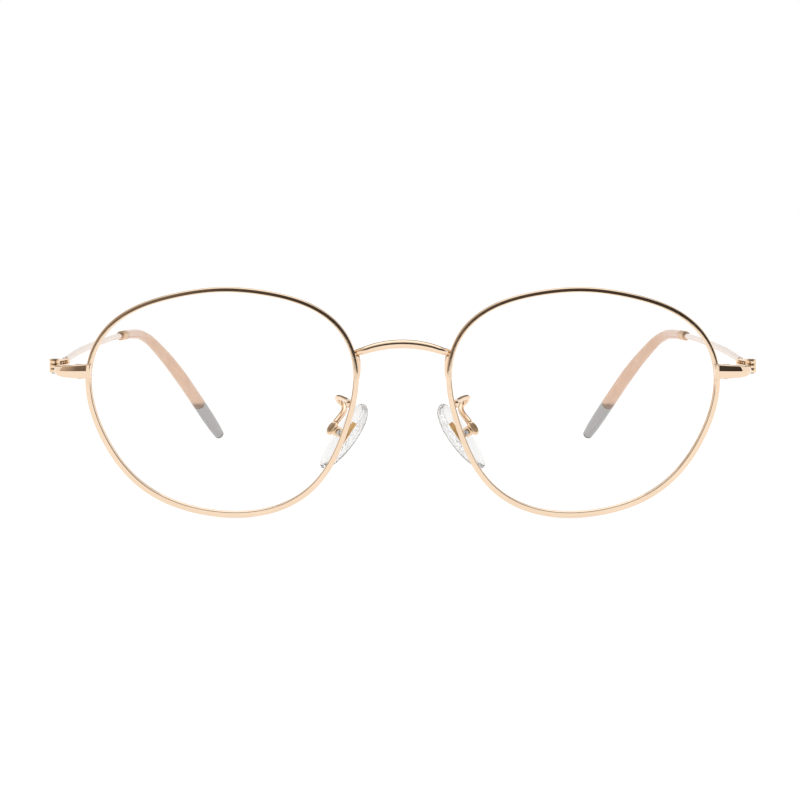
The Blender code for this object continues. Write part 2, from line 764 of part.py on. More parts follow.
def main():
    rim_section = profile_object("rim_section", rim_profile())
    lug_section = profile_object("lug_section", lug_profile())
    temple_route = smooth_route(TEMPLE_ROUTE)
    make_bridge()
    for name, side in (("right", 1), ("left", -1)):
        make_rim(f"rim_{name}", side, rim_section)
        make_rim_lock(name, side)
        make_end_piece(name, side, lug_section)
        make_front_leaf(name, side)
        make_pad_arm(name, side)
        make_pad_box(name, side)
        make_pad_screw(name, side)

        pad_pivot = axis_empty(f"pad_pivot_{name}", pad_place(side, face=-PAD_ROCK_HEIGHT))
        make_nose_pad(name, side, pad_pivot)
        make_pad_insert(name, side, pad_pivot)

        hinge = axis_empty(f"temple_axis_{name}", at(side * HINGE_X, HINGE_Y, HINGE_BOTTOM))
        make_temple_leaf(name, side, hinge)
        make_hinge_screw(name, side, hinge)
        make_temple_wire(name, side, temple_route, hinge)
        make_temple_tip(name, side, temple_route, hinge)
        make_tip_ferrule(name, side, temple_route, hinge)


main()
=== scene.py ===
"""Looks of the wire eyeglasses frame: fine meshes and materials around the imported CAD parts.

Sizes are in millimetres. A place is measured from the frame's middle, the front's plane and the
table, and at() turns it into metres in the CAD frame. Each side is described once, with x
positive: side is 1 for the right, as seen from the front, and -1 for the left.
"""

import json
import math

import bmesh
import bpy
from mathutils import Matrix, Vector


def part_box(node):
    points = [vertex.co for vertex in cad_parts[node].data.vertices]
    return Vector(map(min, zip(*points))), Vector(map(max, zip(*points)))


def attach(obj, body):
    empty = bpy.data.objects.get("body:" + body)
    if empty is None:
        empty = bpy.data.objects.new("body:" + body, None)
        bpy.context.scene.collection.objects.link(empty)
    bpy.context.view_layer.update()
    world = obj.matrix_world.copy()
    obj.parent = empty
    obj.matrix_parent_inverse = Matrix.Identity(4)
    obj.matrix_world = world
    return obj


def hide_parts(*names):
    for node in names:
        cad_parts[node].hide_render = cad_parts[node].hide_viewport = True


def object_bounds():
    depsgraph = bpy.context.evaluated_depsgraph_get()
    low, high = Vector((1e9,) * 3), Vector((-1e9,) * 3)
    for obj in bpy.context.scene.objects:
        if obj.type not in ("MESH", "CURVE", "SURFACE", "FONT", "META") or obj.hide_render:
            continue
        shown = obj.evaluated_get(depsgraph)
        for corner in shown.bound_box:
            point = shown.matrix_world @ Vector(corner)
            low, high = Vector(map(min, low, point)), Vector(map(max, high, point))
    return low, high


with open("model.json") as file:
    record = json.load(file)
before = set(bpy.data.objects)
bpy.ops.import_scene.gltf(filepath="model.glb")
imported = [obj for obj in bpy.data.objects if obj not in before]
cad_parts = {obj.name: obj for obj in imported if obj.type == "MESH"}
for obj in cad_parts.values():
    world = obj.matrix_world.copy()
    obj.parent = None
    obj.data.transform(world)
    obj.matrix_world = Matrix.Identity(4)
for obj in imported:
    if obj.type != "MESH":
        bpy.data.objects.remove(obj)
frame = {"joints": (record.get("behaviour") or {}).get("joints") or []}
CAD_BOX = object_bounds()

MM = 0.001
SIDES = (("right", 1), ("left", -1))
ACROSS, BACK, UP = Vector((1, 0, 0)), Vector((0, 1, 0)), Vector((0, 0, 1))
FRONT_Y = sum(corner.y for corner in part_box("bridge")) / 2 / MM
HINGE = Vector(frame["joints"][0]["pos_m"]) / MM - BACK * FRONT_Y
ROUTE_STEPS = 10  # between two points of a smooth route
SHARP_ANGLE = math.radians(38)
DOME_DEGREES = (25, 48, 68, 84)
DOME_REACH = 0.6  # of the wire's radius
METAL_DRIFT, METAL_CLOUD, METAL_MARKS = 140.0, 900.0, 2500.0  # noise scales
PLASTIC_TINT, PLASTIC_CLOUD, PLASTIC_RIPPLE = 90.0, 500.0, 350.0

# Rims
LENS_CENTRE_X = 34.45
WIRE_RADII = (24.9, 26.7, 23.55, 21.8, 23.1, 26.5, 25.35, 23.0, 21.65, 21.35, 22.9, 23.65)
LENS_CURVE = 132.0
RIM_WIDTH = 1.2  # as the CAD part has it, to set how high the lens centre is above the table
FACE_WIDTH = 1.0
LOWER_EXTRA = 0.16  # the wire is wider along the bottom of the rim
RIM_DEPTH = 1.9
# Tilt at the arc's end in degrees, radius, steps
RIM_ARCS = ((3, 0.16, 6), (7, 5.6, 5), (25, 0.7, 7), (90, 0.4, 9))
SPLIT_Z = 27.7
SPLIT_GAP = 0.12
RIM_STATIONS = 260
GROOVE_HALF = 0.45
GROOVE_DEEP = 0.45

# Bridge
BRIDGE_HALF = 7.5
BRIDGE_END_Z = 32.1
BRIDGE_RISE = 1.3
BRIDGE_MIDDLE = 0.86  # half its height at the middle
BRIDGE_ENDS = 0.72
BRIDGE_TAPER = 2.5  # a higher power keeps it thick for longer
BRIDGE_ARCH_STEPS = 6
BRIDGE_SMOOTH_STEPS = 8
# Degrees around the rim, half height
BRIDGE_FOOT = ((20.6, 0.6), (19.0, 0.52), (17.0, 0.45), (14.5, 0.36), (12.0, 0.25), (10.0, 0.12))

# Rim locks
LOCK_SIDES = (60.05, 63.25)
LOCK_HALF_DEPTH = 1.0
LOCK_HEIGHTS = {"upper": (27.76, 29.35), "lower": (26.75, 27.64)}
LOCK_SCREW_X, LOCK_SCREW_Y = 62.1, 0.95
LOCK_SHANK_Z = 26.6
LOCK_SHANK = (2.7, 0.45, 0.08)  # length, radius, edge
LOCK_HEAD_Z = 29.25
LOCK_HEAD = (0.72, 0.24)  # radius, height

# End pieces
LUG_PATH = (
    (59.9, -0.98),
    (61.5, -0.95),
    (63.2, -0.85),
    (64.8, -0.35),
    (66.0, 0.75),
    (66.65, 2.3),
    (66.85, 4.2),
    (66.85, 6.25),
)
LUG_SMOOTH_STEPS = 8
LUG_START_Z = 28.2
LUG_END_Z = 28.1
LUG_SIZES = ((0, 1.08), (0.2, 0.98), (0.42, 0.86), (0.52, 0.78), (0.64, 0.64), (1, 0.5))
LUG_ARCS = ((-25, 0.4, 6), (-2, 3.1, 8), (8, 0.5, 4), (21, 4.3, 8), (90, 0.42, 8))  # as RIM_ARCS
LUG_HALF_THICK = 0.6
LUG_BACK_EDGE = 0.12
COLLAR_PLACE = (60.1, -0.98)
COLLAR_HALF = (0.42, 0.66, 1.38)

# Hinges. Places are distances outwards and backwards of the axis.
HINGE_BOTTOM = 27.4
HINGE_TOP = 30.0
KNUCKLE_RADIUS = 1.02
KNUCKLE_HEIGHT = 0.84
KNUCKLE_GAP = 0.04
LEAF_FOOT = (-1.1, -1.45, 28.1)
LEAF_FOOT_HALF = (0.6, 0.42, 0.6)
LEAF_ARM = (-0.85, -0.9, 0.3)  # its height is above the middle knuckle's lower end
LEAF_ARM_HALF = (0.45, 0.55, 0.28)
NECK_BACK = 1.0
NECK_HALF = (0.6, 0.8)
NECK_INSET = 0.02
WEB_PLACE = (-0.05, 1.75)
WEB_HALF = (0.5, 0.35)
WEB_INSET = 0.05
HINGE_HEAD_SEAT = 0.21  # below the top of the barrel
HINGE_HEAD = (0.74, 0.24)  # radius, height
HINGE_SHANK_BELOW = 0.3
HINGE_SHANK = (1.5, 0.66, 0.12)  # length, radius, edge
BRACKET_ENDS = (0.9, 8.8)  # behind the hinge's axis
BRACKET_OUTSIDE = 0.3
BRACKET_INSIDE = (-0.45, -1.6)
BRACKET_Z = 29.05
BRACKET_FALL = 0.02  # for each millimetre towards the back
BRACKET_HALF_HEIGHT = 0.62
BRACKET_SLOT = (2.8, 0.36)
BRACKET_BROW = 0.1  # how far its outer edges are rounded
SLOT_LIP = 0.05  # how far the slot's edges are
SPRING_INWARD = 0.45  # between the bracket's outer face, 0, and its inner one, 1
SPRING_HALF = (2.6, 0.24, 0.22)
PIN_INWARD = 0.5
PIN_PLACES = (-0.9, 0.7)
PIN = (0.62, 0.2, 0.05)  # length, radius, edge

# Temples. TEMPLE_RADII and TIP_RADII list (distance along the wire, radius).
TEMPLE_ROUTE = (
    (67.4, 17.5, 29.2),
    (67.0, 38.0, 29.95),
    (65.6, 70.6, 30.3),
    (63.9, 92.0, 29.95),
    (62.4, 101.3, 28.9),
    (60.1, 107.6, 26.0),
    (55.3, 118.1, 17.8),
    (47.5, 139.6, 0.75),
)
TEMPLE_RADII = ((0, 0.62), (9, 0.72), (22, 0.75), (45, 0.68), (60, 0.66))
SHAFT_STEPS, CORE_STEPS, TIP_STEPS, FERRULE_STEPS = 66, 90, 110, 12
SHAFT_IN_BRACKET = 1.2
CORE_BEGINS = 0.4  # past the tip's start, where the shaft ends
CORE_SHARE = 0.64  # of the clear tip around it
CORE_SHORT_OF_TIP = 15.5
TIP_START = 62.4
TIP_RADII = ((0.0, 1.04), (8.0, 1.12), (26.0, 1.25), (41.0, 1.56), (62.0, 1.6), (67.0, 1.5), (71.0, 1.25))
TIP_DOME = 1.0
TIP_MOUTH_SHARE = 0.93
FERRULE_LENGTH = 5.0
FERRULE_RADIUS = 1.08
FERRULE_OVER_TIP = 0.5
GREY_TINT_HEIGHT = 0.0101  # in metres, as shaders measure: the plastic is tinted grey below it
GREY_TINT_DEPTH = 0.0006
GREY_TINT_COLOUR = (0.42, 0.405, 0.40)

# Nose pads
PAD_CENTRE = (11.35, 7.1, 14.75)
PAD_SIZE = (15.0, 7.4, 2.4)
PAD_FRONTAL = math.radians(34)
PAD_SPLAY = math.radians(28)
PAD_LEAN_BACK = 0.17
PAD_LEVELS = 26
PAD_SIDES = 72
PAD_ROUNDNESS = 0.92  # 1 is an ellipse, and less is squarer
PAD_EDGE = 0.45  # less makes its edge fuller
PAD_EGG = 0.13  # how much wider its upper end is
PAD_BOW = 0.35
PAD_BACK_SHARE = 0.75
PAD_ROCK_HEIGHT = 2.4
PLATE_UP = 0.9
PLATE_FORWARD = 1.1
PLATE_FACE = -0.15
PLATE_HALF = (2.4, 0.75, 0.2)
TONGUE_FACE = -1.7
TONGUE_HALF = (0.6, 0.36, 1.35)
BOX_FACE = -3.75
BOX_CUP = ((0, 1.05), (0.08, 1.3), (0.2, 1.46), (0.36, 1.52), (0.5, 1.48), (0.55, 1.36))  # height, radius
CHEEK_APART = 0.8
CHEEK_FACE = -2.5
CHEEK_HALF = (0.92, 0.25, 0.8)
PAD_SHANK_START = -1.15
PAD_SHANK = (2.3, 0.33, 0.06)  # length, radius, edge
PAD_HEAD_START = 1.06
PAD_HEAD = (0.6, 0.45)  # radius, height
PAD_HEAD_SLOT = (0.2, 0.18)  # width, depth
PAD_ARM_RADIUS = 0.5
PAD_ARM_FOOT = 0.35  # added to the radius at the rim
PAD_ARM_FOOT_STEPS = 9  # of its route, over which that dies away
PAD_ARM_LEG = 0.12  # added to the radius past the bend
PAD_ARM_LEG_POINT = 3  # the point of its route after which that grows in
PAD_ARM_END = (1.2, 1.05)  # up the pad and behind its screw
PAD_ARM_ROUTE = (
    (10.1, 1.2, 21.8),
    (10.7, 3.4, 22.2),
    (11.9, 6.2, 22.5),
    (12.75, 7.9, 22.45),
    (12.4, 9.0, 21.7),
    (11.65, 8.9, 20.9),
    (11.5, 7.8, 19.7),
)

# Studio, in metres. The cards are curved panels around the origin that only reflections show.
FLOOR_RADIUS = 6.0
FLOOR_BELOW = 0.0002
FLOOR_GLOW = 0.82
CARD_RADIUS = 0.5
CARD_COLUMNS = 48
CARD_ROWS = 24
CARD_TINT = (1.0, 0.84, 0.7)
CARD_STRENGTHS = (0.7, 1.8)  # at the origin's height, and at the top
# Degrees around from the front, degrees up
FRONT_CARD = ((-82, 62), (4, 45))
BACK_CARD = ((105, 255), (25, 68))
# Place from left to right, brightness
FRONT_SHADES = ((0.0, 0.6), (0.18, 0.4), (0.32, 0.2), (0.42, 0.1), (0.5, 0.07), (0.65, 0.05), (1.0, 0.04))
BACK_SHADES = ((0.0, 0.22), (1.0, 0.18))

# The camera stands in front of the frame, a little above it and looking slightly down.
CAMERA_BACK = 400.0
CAMERA_HEIGHT = 58.5
CAMERA_SIDE = 0.61
CAMERA_PITCH = math.radians(5.123)
CAMERA_AIM = 1.1  # how far to the left of straight ahead it aims, at the front's plane
CAMERA_LENS = 94.14


# Places and lines


def at(x, y, z):
    return Vector((x, y + FRONT_Y, z)) * MM


def rim_radius(angle):
    """The smooth curve through WIRE_RADII, as a sum of cosines."""
    count = len(WIRE_RADII)
    total = 0.0
    for index, radius in enumerate(WIRE_RADII):
        turn = angle - 2 * math.pi * index / count
        waves = sum(math.cos(order * turn) for order in range(1, count // 2))
        total += radius * (1 + 2 * waves + math.cos(count // 2 * turn)) / count
    return total


def lens_centre_z():
    """The height that puts the lowest point of the rims on the table."""
    angles = (math.radians(degree) for degree in range(180, 360))
    return -min((rim_radius(angle) + RIM_WIDTH / 2) * math.sin(angle) for angle in angles)


LENS_CENTRE_Z = lens_centre_z()


def rim_place(angle, offset=0.0):
    """A place along the rim's wire. angle is 0 at the nose and a quarter turn at the top."""
    radius = rim_radius(angle) + offset
    x = LENS_CENTRE_X - radius * math.cos(angle)
    z = LENS_CENTRE_Z + radius * math.sin(angle)
    mean = sum(WIRE_RADII) / len(WIRE_RADII)
    return Vector((x, (radius**2 - mean**2) / (2 * LENS_CURVE), z))


def split_angle():
    """Where the rim is cut, on its temple side."""
    angle = math.pi
    while rim_place(angle).z < SPLIT_Z:
        angle -= math.radians(0.1)
    return angle


def smooth_route(points, steps=ROUTE_STEPS):
    """A Catmull-Rom curve through the points."""
    knots = [Vector(point) for point in points]
    knots = [2 * knots[0] - knots[1], *knots, 2 * knots[-1] - knots[-2]]
    route = []
    for before, start, end, after in zip(knots, knots[1:], knots[2:], knots[3:]):
        for step in range(steps):
            t = step / steps
            turn = 2 * before - 5 * start + 4 * end - after
            bend = 3 * start - before - 3 * end + after
            route.append(0.5 * (2 * start + (end - before) * t + turn * t**2 + bend * t**3))
    return [*route, knots[-2]]


def route_length(route):
    return sum((b - a).length for a, b in zip(route, route[1:]))


def along_route(route, distance):
    """The place at a distance along a route, which goes on straight past both ends."""
    if distance < 0:
        return route[0] + (route[1] - route[0]).normalized() * distance
    for a, b in zip(route, route[1:]):
        step = (b - a).length
        if distance <= step:
            return a + (b - a) * (distance / step)
        distance -= step
    return route[-1] + (route[-1] - route[-2]).normalized() * distance


def mirror_route(route, side):
    return [Vector((side * p.x, p.y, p.z)) for p in route]


def interpolate(table, value):
    for (start, first), (end, second) in zip(table, table[1:]):
        if value <= end:
            return first + (second - first) * max(value - start, 0) / (end - start)
    return table[-1][1]


def evenly(start, end, steps):
    return [start + (end - start) * index / steps for index in range(steps + 1)]


# Meshes


def new_piece(name, bm, finish, body, *nodes):
    """A finished piece: smooth shaded, riding on its body and standing for its CAD nodes."""
    material, slot_name = finish
    bmesh.ops.recalc_face_normals(bm, faces=bm.faces)
    mesh = bpy.data.meshes.new(name)
    bm.to_mesh(mesh)
    bm.free()
    mesh.shade_smooth()
    mesh.set_sharp_from_angle(angle=SHARP_ANGLE)
    mesh.materials.append(material)
    obj = bpy.data.objects.new(name, mesh)
    bpy.context.scene.collection.objects.link(obj)
    flats = obj.modifiers.new("flats", "WEIGHTED_NORMAL")
    flats.keep_sharp = True
    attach(obj, body)
    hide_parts(*nodes)
    return obj


def add_loft(bm, rings, closed=False):
    """Faces between rings of points in millimetres, capped at both ends unless closed."""
    made = [[bm.verts.new(at(*point)) for point in ring] for ring in rings]
    pairs = list(zip(made, made[1:]))
    if closed:
        pairs.append((made[-1], made[0]))
    for first, second in pairs:
        for index in range(len(first)):
            after = (index + 1) % len(first)
            bm.faces.new((first[index], first[after], second[after], second[index]))
    if not closed:
        bm.faces.new(made[0][::-1])
        bm.faces.new(made[-1])


def path_frames(points, up):
    """Point, tangent, side and up vectors along a path, turned as little as possible."""
    frames = []
    normal = Vector(up)
    for index, point in enumerate(points):
        before = points[max(index - 1, 0)]
        after = points[min(index + 1, len(points) - 1)]
        tangent = (after - before).normalized()
        normal = (normal - normal.dot(tangent) * tangent).normalized()
        frames.append((point, tangent, tangent.cross(normal), normal))
    return frames


def circle(radius, count):
    """A ring of (side, up) pairs."""
    turns = (2 * math.pi * index / count for index in range(count))
    return [(radius * math.cos(turn), radius * math.sin(turn)) for turn in turns]


def place_section(path_frame, section):
    point, _, side, up = path_frame
    return [point + side * a + up * b for a, b in section]


def dome(path_frame, away, radius, count):
    """Ever smaller rings past the end of a wire, from the wire outwards."""
    point, tangent, side, up = path_frame
    rings = []
    for degrees in DOME_DEGREES:
        turn = math.radians(degrees)
        centre = point + away * radius * math.sin(turn) * DOME_REACH
        rings.append(place_section((centre, tangent, side, up), circle(radius * math.cos(turn), count)))
    return rings


def add_wire(bm, points, radii, up=UP, count=24, round_ends=(True, True)):
    """A round wire, with domed ends where round_ends says so."""
    frames = path_frames(points, up)
    rings = [place_section(here, circle(radius, count)) for here, radius in zip(frames, radii)]
    if round_ends[0]:
        rings = dome(frames[0], -frames[0][1], radii[0], count)[::-1] + rings
    if round_ends[1]:
        rings = rings + dome(frames[-1], frames[-1][1], radii[-1], count)
    add_loft(bm, rings)


def rounded_outline(half_x, half_y, radius, steps=5):
    """A rectangle with round corners, as (x, y) pairs."""
    corners = ((1, 1), (-1, 1), (-1, -1), (1, -1))
    outline = []
    for index, (sx, sy) in enumerate(corners):
        for step in range(steps + 1):
            turn = math.radians(90 * index + 90 * step / steps)
            x = sx * (half_x - radius) + radius * math.cos(turn)
            y = sy * (half_y - radius) + radius * math.sin(turn)
            outline.append((x, y))
    return outline


def add_block(bm, centre, half, edge=0.12, axes=(ACROSS, BACK, UP)):
    """A box with rounded edges. half is its three half sizes, and axes their unit vectors."""
    lower = []
    for turn in evenly(0, math.pi / 2, 4):
        lower.append((edge * (1 - math.cos(turn)) - half[2], edge * (1 - math.sin(turn))))
    levels = lower + [(-height, inset) for height, inset in lower[::-1]]
    rings = []
    for height, inset in levels:
        outline = rounded_outline(half[0] - inset, half[1] - inset, max(edge * 1.3 - inset, 0.02))
        rings.append([centre + axes[0] * x + axes[1] * y + axes[2] * height for x, y in outline])
    add_loft(bm, rings)


def turned_axes(axis):
    """The unit axis and two unit vectors across it."""
    axis = Vector(axis).normalized()
    side = axis.orthogonal().normalized()
    return axis, side, axis.cross(side)


def add_turned(bm, base, axis, profile, count=48):
    """A solid of revolution. profile lists (distance along the axis, radius)."""
    axis, side, up = turned_axes(axis)
    rings = []
    for distance, radius in profile:
        rings.append([base + axis * distance + side * a + up * b for a, b in circle(radius, count)])
    add_loft(bm, rings)


def barrel(length, radius, edge=0.06):
    """The profile of a cylinder with rounded edges."""
    return [
        (0, radius - edge),
        (edge * 0.3, radius - edge * 0.3),
        (edge, radius),
        (length - edge, radius),
        (length - edge * 0.3, radius - edge * 0.3),
        (length, radius - edge),
    ]


def add_slotted_head(bm, base, axis, size, slot=(0.26, 0.22), turn=0.0):
    """A screw head, lofted in two halves above its slot. size is (radius, height), slot (width, depth)."""
    radius, height = size
    width, depth = slot
    axis, side, _ = turned_axes(axis)
    side = Matrix.Rotation(turn, 3, axis) @ side
    up = axis.cross(side)
    add_turned(bm, base, axis, barrel(height - depth, radius, 0.05))
    for sign in (1, -1):
        rings = []
        for distance, inset in ((-0.05, 0.0), (depth - 0.08, 0.0), (depth - 0.02, 0.03), (depth, 0.09)):
            reach = radius - inset
            first = math.asin((width / 2 + inset * 0.4) / reach)
            turns = evenly(first, math.pi - first, 16)
            ring = [(reach * math.cos(a), sign * reach * math.sin(a)) for a in turns]
            centre = base + axis * (height - depth + distance)
            rings.append([centre + side * a + up * b for a, b in ring])
        add_loft(bm, rings)


# Materials


def node_tree(material):
    material.use_nodes = True
    nodes = material.node_tree.nodes
    return nodes, material.node_tree.links, nodes["Principled BSDF"]


def noise(nodes, links, scale, detail=3.0, stretch=None):
    """A noise texture on the object's own coordinates, stretched along an axis if asked."""
    coordinates = nodes.new("ShaderNodeTexCoord")
    texture = nodes.new("ShaderNodeTexNoise")
    texture.inputs["Scale"].default_value = scale
    texture.inputs["Detail"].default_value = detail
    source = coordinates.outputs["Object"]
    if stretch:
        mapping = nodes.new("ShaderNodeMapping")
        mapping.inputs["Scale"].default_value = stretch
        links.new(source, mapping.inputs["Vector"])
        source = mapping.outputs["Vector"]
    links.new(source, texture.inputs["Vector"])
    return texture.outputs["Fac"]


def ranged(nodes, links, value, low, high):
    """Spreads the middle part of a noise from low to high."""
    mapped = nodes.new("ShaderNodeMapRange")
    mapped.inputs["From Min"].default_value = 0.3
    mapped.inputs["From Max"].default_value = 0.7
    mapped.inputs["To Min"].default_value = low
    mapped.inputs["To Max"].default_value = high
    links.new(value, mapped.inputs["Value"])
    return mapped.outputs["Result"]


def colour_between(nodes, links, value, first, second):
    ramp = nodes.new("ShaderNodeValToRGB")
    ramp.color_ramp.elements[0].position = 0.35
    ramp.color_ramp.elements[0].color = (*first, 1)
    ramp.color_ramp.elements[1].position = 0.65
    ramp.color_ramp.elements[1].color = (*second, 1)
    links.new(value, ramp.inputs["Fac"])
    return ramp.outputs["Color"]


def add_bump(nodes, links, shader, height, strength, distance):
    bump = nodes.new("ShaderNodeBump")
    bump.inputs["Strength"].default_value = strength
    bump.inputs["Distance"].default_value = distance
    links.new(height, bump.inputs["Height"])
    links.new(bump.outputs["Normal"], shader.inputs["Normal"])


def metal(name, first, second, rough, scratches, metallic=1.0):
    """Polished or brushed metal: soft colour drift, cloudy roughness and fine polishing marks."""
    material = bpy.data.materials.new(name)
    nodes, links, shader = node_tree(material)
    shader.inputs["Metallic"].default_value = metallic
    drift = noise(nodes, links, METAL_DRIFT)
    links.new(colour_between(nodes, links, drift, first, second), shader.inputs["Base Color"])
    cloud = noise(nodes, links, METAL_CLOUD, 4.0)
    links.new(ranged(nodes, links, cloud, *rough), shader.inputs["Roughness"])
    marks = noise(nodes, links, METAL_MARKS, 2.0, (1.0, 0.25, 1.0))
    add_bump(nodes, links, shader, marks, scratches, 0.00002)
    return material


def clear_plastic(name, first, second, rough, index, clearness):
    """Clear moulded plastic or silicone, with a faint tint and a slightly uneven surface."""
    material = bpy.data.materials.new(name)
    nodes, links, shader = node_tree(material)
    shader.inputs["Transmission Weight"].default_value = clearness
    shader.inputs["IOR"].default_value = index
    tint = noise(nodes, links, PLASTIC_TINT)
    links.new(colour_between(nodes, links, tint, first, second), shader.inputs["Base Color"])
    cloud = noise(nodes, links, PLASTIC_CLOUD)
    links.new(ranged(nodes, links, cloud, *rough), shader.inputs["Roughness"])
    ripple = noise(nodes, links, PLASTIC_RIPPLE, 2.0)
    add_bump(nodes, links, shader, ripple, 0.12, 0.00005)
    return material


def grey_below(material, height, depth, colour):
    """Tints a clear material towards grey below a height in the part's own frame."""
    nodes, links, shader = node_tree(material)
    coordinates = nodes.new("ShaderNodeTexCoord")
    split = nodes.new("ShaderNodeSeparateXYZ")
    links.new(coordinates.outputs["Object"], split.inputs["Vector"])
    share = nodes.new("ShaderNodeMapRange")
    share.inputs["From Min"].default_value = height + depth
    share.inputs["From Max"].default_value = height
    links.new(split.outputs["Z"], share.inputs["Value"])
    mix = nodes.new("ShaderNodeMix")
    mix.data_type = "RGBA"
    mix.inputs["B"].default_value = (*colour, 1)
    links.new(share.outputs["Result"], mix.inputs["Factor"])
    links.new(shader.inputs["Base Color"].links[0].from_socket, mix.inputs["A"])
    links.new(mix.outputs["Result"], shader.inputs["Base Color"])


def gold(*look):
    return metal(*look), "rose_gold_metal"


# A finish is a material and the record's slot that it stands for.
GOLD = gold("polished_rose_gold", (0.88, 0.68, 0.50), (0.91, 0.71, 0.53), (0.05, 0.12), 0.05)
WORN_GOLD = gold("stamped_gold", (0.84, 0.60, 0.38), (0.90, 0.68, 0.47), (0.14, 0.26), 0.12)
TEMPLE_GOLD = gold("satin_temple_gold", (0.80, 0.68, 0.60), (0.84, 0.72, 0.64), (0.12, 0.22), 0.1)
FERRULE_GOLD = gold("ferrule_gold", (0.74, 0.50, 0.30), (0.82, 0.60, 0.42), (0.4, 0.5), 0.12)
AMBER_GOLD = gold("insert_gold", (0.56, 0.30, 0.07), (0.68, 0.40, 0.13), (0.16, 0.28), 0.1)
CORE_GOLD = gold("satin_core_gold", (0.93, 0.64, 0.46), (0.97, 0.70, 0.52), (0.35, 0.45), 0.1, 0.3)
# Painted shade: the spring's dark colour stands for the shade down inside the bracket's slot.
SPRING_SHADE_GOLD = gold("spring_gold_painted_shade", (0.34, 0.28, 0.17), (0.50, 0.42, 0.28), (0.3, 0.5), 0.2)
STEEL = (
    metal("brushed_screw_steel", (0.42, 0.40, 0.37), (0.56, 0.53, 0.49), (0.2, 0.34), 0.18),
    "steel_screw",
)
SILICONE = (
    clear_plastic("clear_silicone", (0.93, 0.93, 0.925), (0.96, 0.96, 0.955), (0.12, 0.2), 1.4, 0.93),
    "clear_pad_silicone",
)
ACETATE = (
    clear_plastic("clear_acetate", (0.96, 0.92, 0.89), (0.98, 0.95, 0.93), (0.04, 0.1), 1.36, 0.95),
    "clear_tip_acetate",
)
grey_below(ACETATE[0], GREY_TINT_HEIGHT, GREY_TINT_DEPTH, GREY_TINT_COLOUR)


# Front


def arc_section(arcs, half_depth):
    """A face as (outward, depth) points, centred across, with its foremost point at -half_depth.

    It is built from arcs: each turns the face's tilt to a new angle, at its own radius.
    """
    a, b = 0.0, 0.0
    points = [(a, b)]
    tilt = math.radians(-90)
    for degrees, radius, steps in arcs:
        for turn in evenly(tilt, math.radians(degrees), steps)[1:]:
            a += radius * (math.sin(turn) - math.sin(tilt))
            b -= radius * (math.cos(turn) - math.cos(tilt))
            tilt = turn
            points.append((a, b))
    front = min(depth for _, depth in points)
    return [(outward - a / 2, depth - front - half_depth) for outward, depth in points]


def rim_section():
    """Inner edge, crowned face that leans outward, outer edge, and the same behind, with a V groove."""
    face = arc_section(RIM_ARCS, RIM_DEPTH / 2)
    inner = face[0][0]
    front_half = [(inner, -GROOVE_HALF - 0.05), *face]
    back_half = [(a, -b) for a, b in reversed(front_half)]
    mouth, deep = inner + 0.03, inner + GROOVE_DEEP
    groove = [(mouth, GROOVE_HALF), (deep, 0.04), (deep, -0.04), (mouth, -GROOVE_HALF)]
    return front_half + back_half + groove


def rim_outward(angle):
    """The unit vector across the rim's wire, away from the lens."""
    tangent = rim_place(angle + 0.001) - rim_place(angle - 0.001)
    outward = Vector((-tangent.z, 0, tangent.x)).normalized()
    if outward.dot(rim_place(angle) - Vector((LENS_CENTRE_X, 0, LENS_CENTRE_Z))) < 0:
        outward.negate()
    return outward


def make_rim(name, side):
    section = rim_section()
    split = split_angle()
    half_cut = SPLIT_GAP / 2 / rim_radius(split)
    sweep = 2 * math.pi - 2 * half_cut
    rings = []
    for index in range(RIM_STATIONS):
        angle = split + half_cut + sweep * index / (RIM_STATIONS - 1)
        here = rim_place(angle)
        outward = rim_outward(angle)
        widen = 1 + LOWER_EXTRA * (1 - math.sin(angle)) / 2 / FACE_WIDTH
        ring = []
        for a, b in section:
            away = (a + FACE_WIDTH / 2) * widen - FACE_WIDTH / 2
            ring.append(here + outward * away + BACK * b)
        rings.append(mirror_route(ring, side))
    bm = bmesh.new()
    add_loft(bm, rings)
    new_piece(f"rim_wire_{name}", bm, GOLD, "front", f"rim_{name}")


def make_bridge():
    """The arch, and its ends, which turn down and die away along the rims."""
    radius = (BRIDGE_HALF**2 + BRIDGE_RISE**2) / (2 * BRIDGE_RISE)
    reach = math.asin(BRIDGE_HALF / radius)
    knots = []
    for index in range(BRIDGE_ARCH_STEPS + 1):
        angle = reach * index / BRIDGE_ARCH_STEPS
        drop = radius * (1 - math.cos(angle))
        thinning = (index / BRIDGE_ARCH_STEPS) ** BRIDGE_TAPER
        thick = BRIDGE_MIDDLE + (BRIDGE_ENDS - BRIDGE_MIDDLE) * thinning
        knots.append((Vector((radius * math.sin(angle), 0, BRIDGE_END_Z + BRIDGE_RISE - drop)), thick))
    for degrees, thick in BRIDGE_FOOT:
        knots.append((rim_place(math.radians(degrees), FACE_WIDTH / 2 + thick * 0.4), thick))
    places = smooth_route([place for place, _ in knots], BRIDGE_SMOOTH_STEPS)
    sizes = smooth_route([(thick, 0, 0) for _, thick in knots], BRIDGE_SMOOTH_STEPS)
    radii = [size.x for size in sizes]
    points = mirror_route(places[:0:-1], -1) + places
    bm = bmesh.new()
    add_wire(bm, points, radii[:0:-1] + radii, up=-BACK, count=32)
    new_piece("bridge_arch", bm, GOLD, "front", "bridge")


